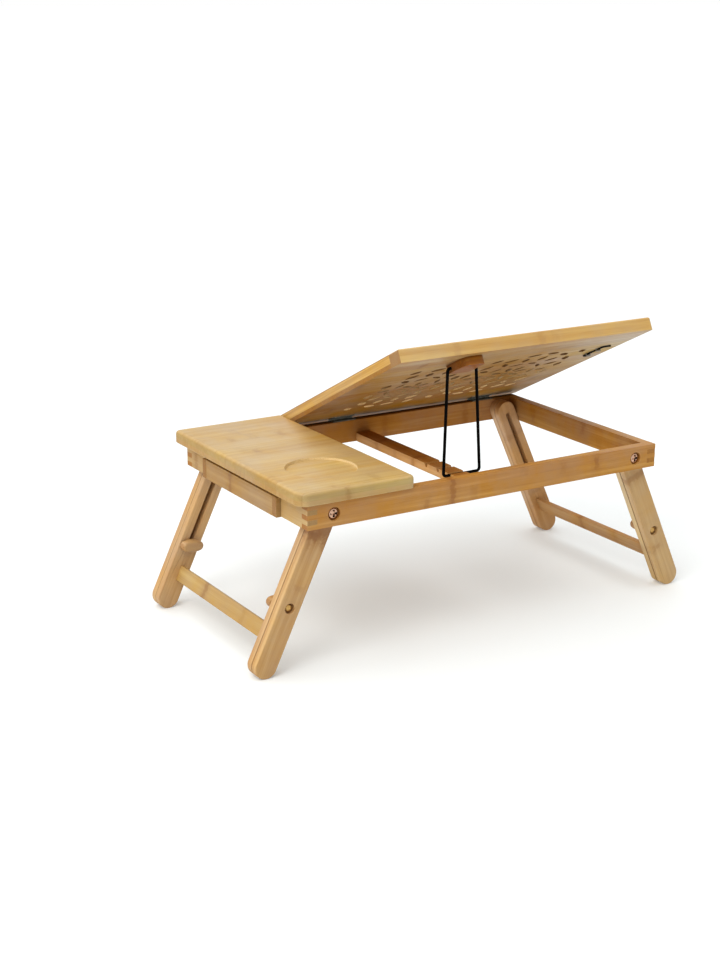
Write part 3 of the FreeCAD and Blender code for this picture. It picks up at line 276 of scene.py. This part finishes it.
    # painted light and shade multiplied into the faces that look one way, with less shine there
    if painted_light:
        facing = t.node("ShaderNodeVectorMath", operation="DOT_PRODUCT")
        t.link(mn.outputs[0], facing.inputs[0])
        facing.inputs[1].default_value = painted_light[0]
        mask = t.step(facing.outputs["Value"], 0.45, 0.8)
        light_tint = painted_light[1] if len(painted_light) == 2 else t.mix(t.step(u, painted_light[3], painted_light[4]), painted_light[1], painted_light[2])
        if len(painted_light) > 5:
            light_tint = t.mix(t.step(v, painted_light[5], painted_light[6]), light_tint, t.mix(t.step(u, painted_light[3], painted_light[4]), painted_light[7], painted_light[8]))
        base = t.mix(mask, base, t.mix(1.0, base, light_tint, "MULTIPLY"))
        shine = t.math("MULTIPLY_ADD", t.math("MAXIMUM", mask, dry) if shade else mask, -dull * spec, spec)
    # painted shade in slots, counterbores and inner corners, from a local AO node
    ao = t.node("ShaderNodeAmbientOcclusion", only_local=True, samples=6)
    ao.inputs["Distance"].default_value = 0.006
    ao_shade = t.step(ao.outputs["AO"], 0.25, 0.85, 1.0, 0.0)
    base = t.mix(t.math("MULTIPLY", ao_shade, corner_shade), base, deep)
    # handling marks in the lacquer
    smear = t.noise(mp.outputs[0], 22.0, 4.0, 0.6)
    base = t.hsv(base, 0.5, t.step(smear, 0.3, 0.7, 0.95, 1.06), t.step(smear, 0.3, 0.7, 0.965, 1.03))
    rough = t.math("ADD", t.step(smear, 0.3, 0.7, gloss - 0.07, gloss + 0.08), t.math("MULTIPLY", f2, 0.10))
    rough = t.math("ADD", rough, t.math("MULTIPLY", end, 0.12), clamp=True)
    # relief: fibres, open grain, sunk glue lines and raised nodes
    h = t.math("ADD", t.math("MULTIPLY", f2, 0.35), t.math("MULTIPLY", f3, 0.20))
    h = t.math("SUBTRACT", h, t.math("MULTIPLY", glue, 0.9))
    h = t.math("ADD", h, t.math("MULTIPLY", nodem, 0.5))
    h = t.math("SUBTRACT", h, t.math("MULTIPLY", t.math("MULTIPLY", end, t.step(dots, 0.50, 0.66)), 0.8))
    bump = t.node("ShaderNodeBump")
    bump.inputs["Strength"].default_value = 0.35
    bump.inputs["Distance"].default_value = 0.00016
    t.link(h, bump.inputs["Height"])
    bs = t.node("ShaderNodeBsdfPrincipled")
    t.link(base, bs.inputs["Base Color"])
    t.link(rough, bs.inputs["Roughness"])
    t.link(bump.outputs[0], bs.inputs["Normal"])
    t.put(bs.inputs["Specular IOR Level"], shine)
    bs.inputs["Coat Weight"].default_value = coat
    bs.inputs["Coat Roughness"].default_value = 0.25
    t.link(bs.outputs[0], t.out.inputs["Surface"])
    return t.mat


def metal(name, colour, rough, metallic=1.0, wear=None, wear_amount=0.3, grain=0.0, bump=0.25, coat=0.0, spec=0.5, recess_shade=0.0):
    """Plated or painted metal with fine pitting, streaks and rubbed spots; recess_shade is painted shade in the
    hollows of the head.
    """
    t = Tree(name)
    tc = t.node("ShaderNodeTexCoord")
    p = tc.outputs["Object"]
    a = t.noise(p, 160.0, 4.0, 0.6)
    b = t.noise(p, 900.0, 3.0, 0.6)
    c = t.noise(t.vec("MULTIPLY", p, (200.0, 2600.0, 2600.0)), 1.0, 2.0)
    base = t.hsv((*colour, 1), 0.5, 1.0, t.step(a, 0.3, 0.7, 0.86, 1.10))
    if wear:
        base = t.mix(t.math("MULTIPLY", t.step(t.math("ADD", t.math("MULTIPLY", a, 0.6), t.math("MULTIPLY", b, 0.4)), 0.52, 0.64), wear_amount), base, wear)
    # painted shade in the recesses of the head
    if recess_shade:
        ao = t.node("ShaderNodeAmbientOcclusion", only_local=True, samples=8)
        ao.inputs["Distance"].default_value = 0.0025
        base = t.mix(t.math("MULTIPLY", t.step(ao.outputs["AO"], 0.35, 0.9, 1.0, 0.0), recess_shade), base, (0.012, 0.008, 0.006))
    r = t.math("ADD", t.step(a, 0.3, 0.7, rough - 0.06, rough + 0.10), t.math("MULTIPLY", c, grain), clamp=True)
    bp = t.node("ShaderNodeBump")
    bp.inputs["Strength"].default_value = bump
    bp.inputs["Distance"].default_value = 0.00008
    t.link(t.math("ADD", t.math("MULTIPLY", b, 0.7), t.math("MULTIPLY", c, 0.3)), bp.inputs["Height"])
    bs = t.node("ShaderNodeBsdfPrincipled")
    t.link(base, bs.inputs["Base Color"])
    t.link(r, bs.inputs["Roughness"])
    bs.inputs["Metallic"].default_value = metallic
    bs.inputs["Specular IOR Level"].default_value = spec
    bs.inputs["Coat Weight"].default_value = coat
    t.link(bp.outputs[0], bs.inputs["Normal"])
    t.link(bs.outputs[0], t.out.inputs["Surface"])
    return t.mat


# colours of the fibres, light and dark, for each kind of piece
TOP_L, TOP_D = srgb(191, 161, 104), srgb(174, 137, 76)
RAIL_L, RAIL_D = srgb(200, 152, 82), srgb(176, 124, 58)
LEG_L, LEG_D = srgb(204, 169, 120), srgb(182, 141, 93)
PAN_L, PAN_D = srgb(194, 150, 86), srgb(172, 124, 62)
KNOB_L, KNOB_D = srgb(192, 150, 98), srgb(168, 124, 76)
# painted light on the panel's underside: darker, warmer painted shade near the hinge, bluish painted sheen and light
# towards the raised edge, most at the free end; the same for the edge strip's underside
UNDER_PAINTED_LIGHT = ((0.66, 0.68, 0.80), (0.51, 0.42, 0.27), -0.245, -0.10, 0.09, 0.25, (1.03, 1.48, 3.3), (0.75, 0.79, 0.98))
UNDER_EDGE_PAINTED_LIGHT = ((0.90, 1.05, 1.85), (0.74, 0.72, 0.80), -0.25, -0.08, 0.258, 0.286, (0.72, 0.76, 1.10), (0.68, 0.60, 0.56))

# growth nodes at their places on the pieces that show them best; the broad ones at the top of leg_upper_right_rear are
# partly painted shade under the rail
H = 0.0048
SPOTS = {
    "rail_rear": (((0.0536, H), None, None, 0.62), ((-0.1484, 0.004), None, (0.1800, 0.009), 0.5),
                  ((0.0880, 0.004), None, (0.1680, 0.007), 0.35), ((-0.0995, 0.005), None, (0.181, 0.008), 0.22)),
    "rail_left": (((0.0287, 0.0045), None, (0.184, 0.009), 0.42), ((-0.0722, 0.005), None, (0.172, 0.01), 0.3)),
    "rail_front": (((-0.0319, 0.005), None, None, 0.3), ((-0.155, 0.005), None, None, 0.25)),
    "rail_right": (((-0.1133, 0.005), None, None, 0.45),),
    "drawer_front": (((-0.0168, 0.0048), None, None, 0.55),),
    # two broad spots here: partly growth node, partly painted shade where the rail shades the leg's top
    "leg_upper_right_rear": (((-0.0300, 0.0056), (0.004, 0.014), None, 0.62), ((-0.014, 0.026), None, None, 0.62), ((-0.008, 0.018), None, None, 0.4), ((-0.089, 0.004), (0.0, 0.008), None, 0.22)),
    "leg_upper_left_rear": (((-0.0302, 0.0052), None, None, 0.55), ((-0.1345, 0.0045), (0.0034, 0.009), None, 0.38)),
    "leg_slider_left_front": (((-0.0357, 0.0045), None, None, 0.25),),
    "crossbar_right": (((-0.0362, 0.0048), None, None, 0.62), ((0.0565, 0.005), None, None, 0.2)),
    "crossbar_left": (((-0.0124, 0.0048), None, None, 0.45), ((0.0546, 0.005), None, None, 0.2)),
    "fixed_top": (((0.2089, 0.0045), (-0.0158, 0.0085), None, 0.38), ((0.1498, 0.0045), (-0.0684, 0.010), None, 0.36),
                  ((0.2120, 0.0042), (-0.0710, 0.009), None, 0.3), ((0.2032, 0.004), (0.143, 0.006), None, 0.3),
                  ((0.1904, 0.004), (0.1525, 0.004), None, 0.35)),
    "prop_rack": (((-0.0764, 0.0045), None, None, 0.4), ((0.0042, 0.0045), None, None, 0.45), ((-0.0351, 0.005), None, None, 0.25)),
    "panel_edge_strip": (((-0.085, 0.006), None, None, 0.22), ((0.03, 0.006), None, None, 0.2)),
}

made = {}
LEFT_PIVOT = (-0.2074, 0, ZF + 0.01375)
RIGHT_PIVOT = (0.205, 0, ZF + 0.01375)
ZT = ZF + 0.0275
SEAM_REAR = REAR - 0.012 - 0.0003 - 0.0094 - 0.0002
SEAM_FRONT = REAR - 0.285 + 0.012 + 0.0003 + 0.0094 + 0.0002


def material_for(node):
    """Each piece gets its own copy of the bamboo, cut from other strips."""
    k = len(made) * 1.37 + 2.0
    name = "bamboo_" + node
    sp = SPOTS.get(node, ())
    inner, under = (0, 1, 0), (0, 0, -1)
    if node == "panel_board":
        # panel_board: painted shade and bluish painted sheen on the underside, painted light on the face that looks
        # up, vent walls painted lit near the hinge and shaded far from it
        m = bamboo(name, PAN_L, PAN_D, AXIS, (TILT, 0, 0), "x", 0.0245, 0.031, k, 0.24, 0.6, 0.9, painted_light=(under,) + UNDER_PAINTED_LIGHT,
                   ply=(0.0060, 0.0150), end_dark=(0.70, 0.62, 0.50), spec=0.3, corner_shade=0.3, coat=0.0, upper=(1.02, 1.12, 1.30),
                   bands=((0.0, 0.0060, (0.98, 1.00, 0.90)), (0.0060, 0.0150, (1.22, 1.38, 1.38)), (0.0152, 0.02, (0.50, 0.48, 0.42))),
                   cut_wall_light=(-0.232, 0.097, 0.02, 0.24, srgb(236, 208, 158), srgb(120, 88, 56)))
    elif node == "panel_edge_strip":
        # panel_edge_strip: bluish painted light on its underside
        m = bamboo(name, srgb(206, 174, 114), srgb(190, 150, 92), AXIS, (TILT, 0, 0), "x", 0.031, 0.031, k, 0.30, 0.2, 0.4, painted_light=(under,) + UNDER_EDGE_PAINTED_LIGHT, vary=0.5,
                   spots=sp, end_dark=(0.50, 0.40, 0.28), end_amount=0.85)
    elif node == "fixed_top":
        # fixed_top: painted shade on the top next to the panel, painted sheen farther along, and a painted highlight
        # on the cup recess wall
        m = bamboo(name, TOP_L, TOP_D, along="x", strip=0.0235, layer=0.0310, seed=k, node_every=0.155, node_amount=0.3, contrast=0.4, gloss=0.38, streak=0.8, coat=0.15,
                   spots=sp, bands=((ZT + 0.0062, ZT + 0.02, (0.86, 0.87, 0.78)), (ZT - 0.01, ZT + 0.0062, (0.93, 0.87, 0.84))), end_amount=0.3, spec=0.3, corner_shade=0.0, vary=0.4,
                   painted_light=((0, 0, 1), (0.90, 0.82, 0.68), (0.96, 0.96, 0.97), 0.105, 0.165, -0.06, 0.09, (1.06, 1.04, 1.02), (1.02, 1.05, 1.08)), dull=0.0,
                   cut_wall_light=(0.132, 0.227, REAR - 0.1185, REAR - 0.0235, srgb(240, 214, 160), srgb(240, 214, 160)))
    elif node in ("rail_front", "rail_rear"):
        # rail_front: painted shade on its inner face and on the strip of its top under the panel
        m = bamboo(name, RAIL_L, RAIL_D, along="x", strip=0.0135, layer=0.04, seed=k, node_every=0.135, node_amount=0.25, contrast=0.35, gloss=0.5, coat=0.0 if node == "rail_front" else 0.05, streak=1.25,
                   painted_light=(inner, (0.76, 0.68, 0.74)) if node == "rail_front" else None, spots=sp, end_dark=(0.66, 0.56, 0.46), end_amount=0.6, vary=0.5,
                   spec=0.3, shade=(REAR - 0.284, REAR - 0.2735, 0.12) if node == "rail_front" else None)
    elif node in ("rail_left", "rail_right"):
        # rail_left: painted shade on its inner face
        m = bamboo(name, *((RAIL_L, RAIL_D) if node == "rail_left" else (srgb(199, 172, 120), srgb(177, 143, 90))), along="y", strip=0.0135, layer=0.04, seed=k, node_every=0.17, node_amount=0.2, contrast=0.35, gloss=0.5, coat=0.05, streak=1.25,
                   painted_light=((1, 0, 0), (0.78, 0.72, 0.74)) if node == "rail_left" else None, spots=sp, end_dark=(0.66, 0.56, 0.46), end_amount=0.6, vary=0.5, spec=0.3)
    elif node.startswith("leg_"):
        right = "_right_" in node
        shade_of = (LEG_L, LEG_D) if right else (srgb(210, 180, 128), srgb(189, 153, 101))
        if node in ("leg_slider_left_front", "leg_upper_left_front"):
            shade_of = (srgb(202, 160, 110), srgb(180, 134, 85))
        # the dark line between upper board and slider is painted shade in the gap
        m = bamboo(name, *shade_of, RIGHT_PIVOT if right else LEFT_PIVOT,
                   (0, -SPLAY if right else SPLAY, 0), "z", 0.034, 0.05, k, 0.135, 0.15, 0.4, 0.48, coat=0.08,
                   streak=1.15, centred=True, spots=sp, end_amount=0.45, vary=0.35, spec=0.3,
                   gap_shade=((SEAM_REAR, 0.0011, 0.45 if right else 0.75) if node.endswith("rear") else (SEAM_FRONT, 0.0010, 0.35),))
    elif node.startswith("crossbar_"):
        m = bamboo(name, *((srgb(190, 160, 102), srgb(174, 138, 80)) if node.endswith("right") else (srgb(189, 148, 91), srgb(171, 125, 71))), along="y", strip=0.03, layer=0.04, seed=k, node_every=0.2, node_amount=0.2, contrast=0.4, gloss=0.5, coat=0.05, streak=1.2, spots=sp, vary=0.4, spec=0.3)
    elif node.startswith("lock_knob"):
        m = bamboo(name, KNOB_L, KNOB_D, along="x", strip=0.03, layer=0.03, seed=k, node_every=0.3, node_amount=0.0, contrast=0.5)
    elif node in ("prop_rack", "drawer_runner_front", "drawer_runner_rear"):
        # prop_rack: painted shade on its faces that look up, under the panel
        m = bamboo(name, srgb(218, 168, 108), srgb(192, 140, 80), along="y" if node == "prop_rack" else "x", strip=0.022, layer=0.04, seed=k, node_every=0.2, node_amount=0.3, gloss=0.52, coat=0.0, spots=sp, spec=0.12, vary=0.4,
                   painted_light=((0, 0, 1), (0.68, 0.54, 0.36)) if node == "prop_rack" else None)
    elif node == "prop_block":
        # prop_block: painted shade on its underside and along its joint with the panel
        m = bamboo(name, srgb(172, 118, 60), srgb(146, 93, 42), AXIS, (TILT, 0, 0), "x", 0.045, 0.031, k, 0.2, 0.0, 0.5, painted_light=(under, (0.84, 0.74, 0.60)), spec=0.12, coat=0.0,
                   gap_shade=((0.0006, 0.0022, 0.45),))
    elif node.startswith("drawer_"):
        m = bamboo(name, srgb(176, 141, 84), srgb(158, 120, 66), along="x" if "side" in node else "y", strip=0.02, layer=0.04, seed=k, node_every=0.145, node_amount=0.2, contrast=0.4, gloss=0.5, coat=0.05,
                   streak=1.2, spots=sp, end_dark=(0.78, 0.62, 0.46), vary=0.5, spec=0.3)
    else:
        m = bamboo(name, RAIL_L, RAIL_D, along="z", strip=0.02, layer=0.02, seed=k, node_amount=0.0)
    made[node] = m
    return m


hinge_mat = metal("hinge_dark", srgb(112, 112, 100), 0.36, 0.55, srgb(176, 174, 160), 0.35, 0.08)
bronze = metal("bronze_bolt", srgb(206, 166, 140), 0.22, 1.0, srgb(120, 84, 64), 0.25, 0.05, recess_shade=0.95)
brass = metal("brass_bolt", srgb(188, 150, 88), 0.30, 1.0, srgb(112, 86, 46), 0.30, 0.06, recess_shade=0.8)
zinc = metal("screw_steel", srgb(150, 148, 144), 0.35, 1.0, srgb(96, 92, 88), 0.3, 0.08)
dim = metal("screw_dark", srgb(96, 74, 54), 0.45, 0.8, srgb(60, 46, 34), 0.3, 0.08)
black = metal("wire_black", (0.0008, 0.0006, 0.0005), 0.5, 0.0, srgb(16, 14, 14), 0.12, 0.06, 0.2, 0.0, spec=0.04)

metals = {
    "hinge_leaf_frame_a": hinge_mat, "hinge_leaf_frame_b": hinge_mat,
    "hinge_leaf_panel_a": hinge_mat, "hinge_leaf_panel_b": hinge_mat, "hinge_pins": hinge_mat,
    "hinge_screws_frame": zinc, "hinge_screws_panel": zinc, "runner_screws": zinc, "block_screws": dim,
    "crossbar_screws_left": zinc, "crossbar_screws_right": zinc,
    "leg_pivot_bolts": bronze, "leg_pivot_nuts": bronze,
    "lock_bolts_left": brass, "lock_bolts_right": brass, "lock_washers_left": brass, "lock_washers_right": brass,
    "prop_wire": black, "underside_wire_clip": black, "clip_staples": zinc,
}

slots = {s["node"]: s["material_slot"] for s in frame["record"]["subparts"]}


def soften(o, width):
    """Real pieces have no razor edges: a small round on each arris."""
    w = o.modifiers.new("weld", "WELD")
    w.merge_threshold = 0.00001
    b = o.modifiers.new("arris", "BEVEL")
    b.width = width
    b.segments = 2
    b.limit_method = "ANGLE"
    b.angle_limit = math.radians(32)
    b.use_clamp_overlap = True
    n = o.modifiers.new("normals", "WEIGHTED_NORMAL")
    n.weight = 50
    n.keep_sharp = False


for name, o in nodes.items():
    mat = metals.get(name) or material_for(name)
    o.data.materials.clear()
    o.data.materials.append(mat)
    if name not in metals and name != "panel_board" and not name.startswith("leg_upper_"):
        soften(o, 0.0008 if name == "fixed_top" else 0.0005)

# ---------------------------------------------------------------------------
# Floor, light and camera
# ---------------------------------------------------------------------------
bpy.ops.mesh.primitive_plane_add(size=80, location=(0, 0, -0.0001))
floor = bpy.context.object
floor.name = "floor"
t = Tree("floor_pale")
bs = t.node("ShaderNodeBsdfPrincipled")
tc = t.node("ShaderNodeTexCoord")
n1 = t.noise(tc.outputs["Object"], 3.0, 3.0)
t.link(t.mix(t.step(n1, 0.3, 0.7), (0.765, 0.792, 0.797), (0.785, 0.812, 0.817)), bs.inputs["Base Color"])
bs.inputs["Roughness"].default_value = 0.6
bs.inputs["Specular IOR Level"].default_value = 0.2
bs.inputs["Emission Color"].default_value = (0.95, 1.0, 1.01, 1)
bs.inputs["Emission Strength"].default_value = 0.15
t.link(bs.outputs[0], t.out.inputs["Surface"])
floor.data.materials.append(t.mat)

world = bpy.data.worlds.new("studio")
bpy.context.scene.world = world
world.use_nodes = True
wt = world.node_tree
bg = wt.nodes["Background"]
bg.inputs["Color"].default_value = (1.0, 1.0, 0.995, 1)
lp = wt.nodes.new("ShaderNodeLightPath")
dim = wt.nodes.new("ShaderNodeMapRange")
wt.links.new(lp.outputs["Is Diffuse Ray"], dim.inputs["Value"])
dim.inputs["To Min"].default_value = 1.0
dim.inputs["To Max"].default_value = 0.30
wt.links.new(dim.outputs["Result"], bg.inputs["Strength"])


def lamp(name, kind, where, aim, power, colour=(1, 1, 1), size=(1, 1), angle=0.0):
    d = bpy.data.lights.new(name, kind)
    if kind == "AREA":
        d.shape = "RECTANGLE"
        d.size, d.size_y = size
    else:
        d.angle = angle
    d.energy = power
    d.color = colour
    o = bpy.data.objects.new(name, d)
    bpy.context.collection.objects.link(o)
    o.location = where
    o.rotation_euler = (Vector(aim) - Vector(where)).to_track_quat("-Z", "Y").to_euler()
    return o


lamp("overhead", "SUN", (0.55, -0.25, 2.4), (0, 0, 0), 2.55, (1.0, 0.995, 0.985), angle=math.radians(110))
lamp("key", "AREA", (1.9, 1.1, 2.3), (0.1, 0, 0.12), 30, (1.0, 0.985, 0.96), (1.4, 1.4))
lamp("side", "AREA", (2.3, -0.3, 0.9), (0.2, 0, 0.12), 6, (1.0, 0.99, 0.97), (1.4, 1.0))
fill = lamp("fill", "AREA", (-0.06, 0.01, 0.03), (-0.06, -0.02, 0.3), 0.27, (0.70, 0.90, 1.25), (0.34, 0.22))
fill.visible_camera = False
fill.visible_glossy = False

AZ, EL, ROLL, DIST = math.radians(31.738), math.radians(16.981), math.radians(0.379), 1.7280
target = Vector((0.2375 - 0.06399, REAR, 0.04615 + ZF))
back = Vector((math.sin(AZ) * math.cos(EL), math.cos(AZ) * math.cos(EL), math.sin(EL)))
cd = bpy.data.cameras.new("camera")
cam = bpy.data.objects.new("camera", cd)
bpy.context.collection.objects.link(cam)
right = Vector((0, 0, 1)).cross(back).normalized()
up = back.cross(right)
r2 = right * math.cos(ROLL) + up * math.sin(ROLL)
u2 = back.cross(r2)
cam.matrix_world = Matrix((
    (r2.x, u2.x, back.x, target.x + back.x * DIST),
    (r2.y, u2.y, back.y, target.y + back.y * DIST),
    (r2.z, u2.z, back.z, target.z + back.z * DIST),
    (0, 0, 0, 1),
))
cd.sensor_width = 36
cd.lens = 61.45
cd.clip_start = 0.05
cd.clip_end = 200
bpy.context.scene.camera = cam
bpy.context.scene.view_settings.view_transform = "Standard"
bpy.context.scene.view_settings.look = "None"
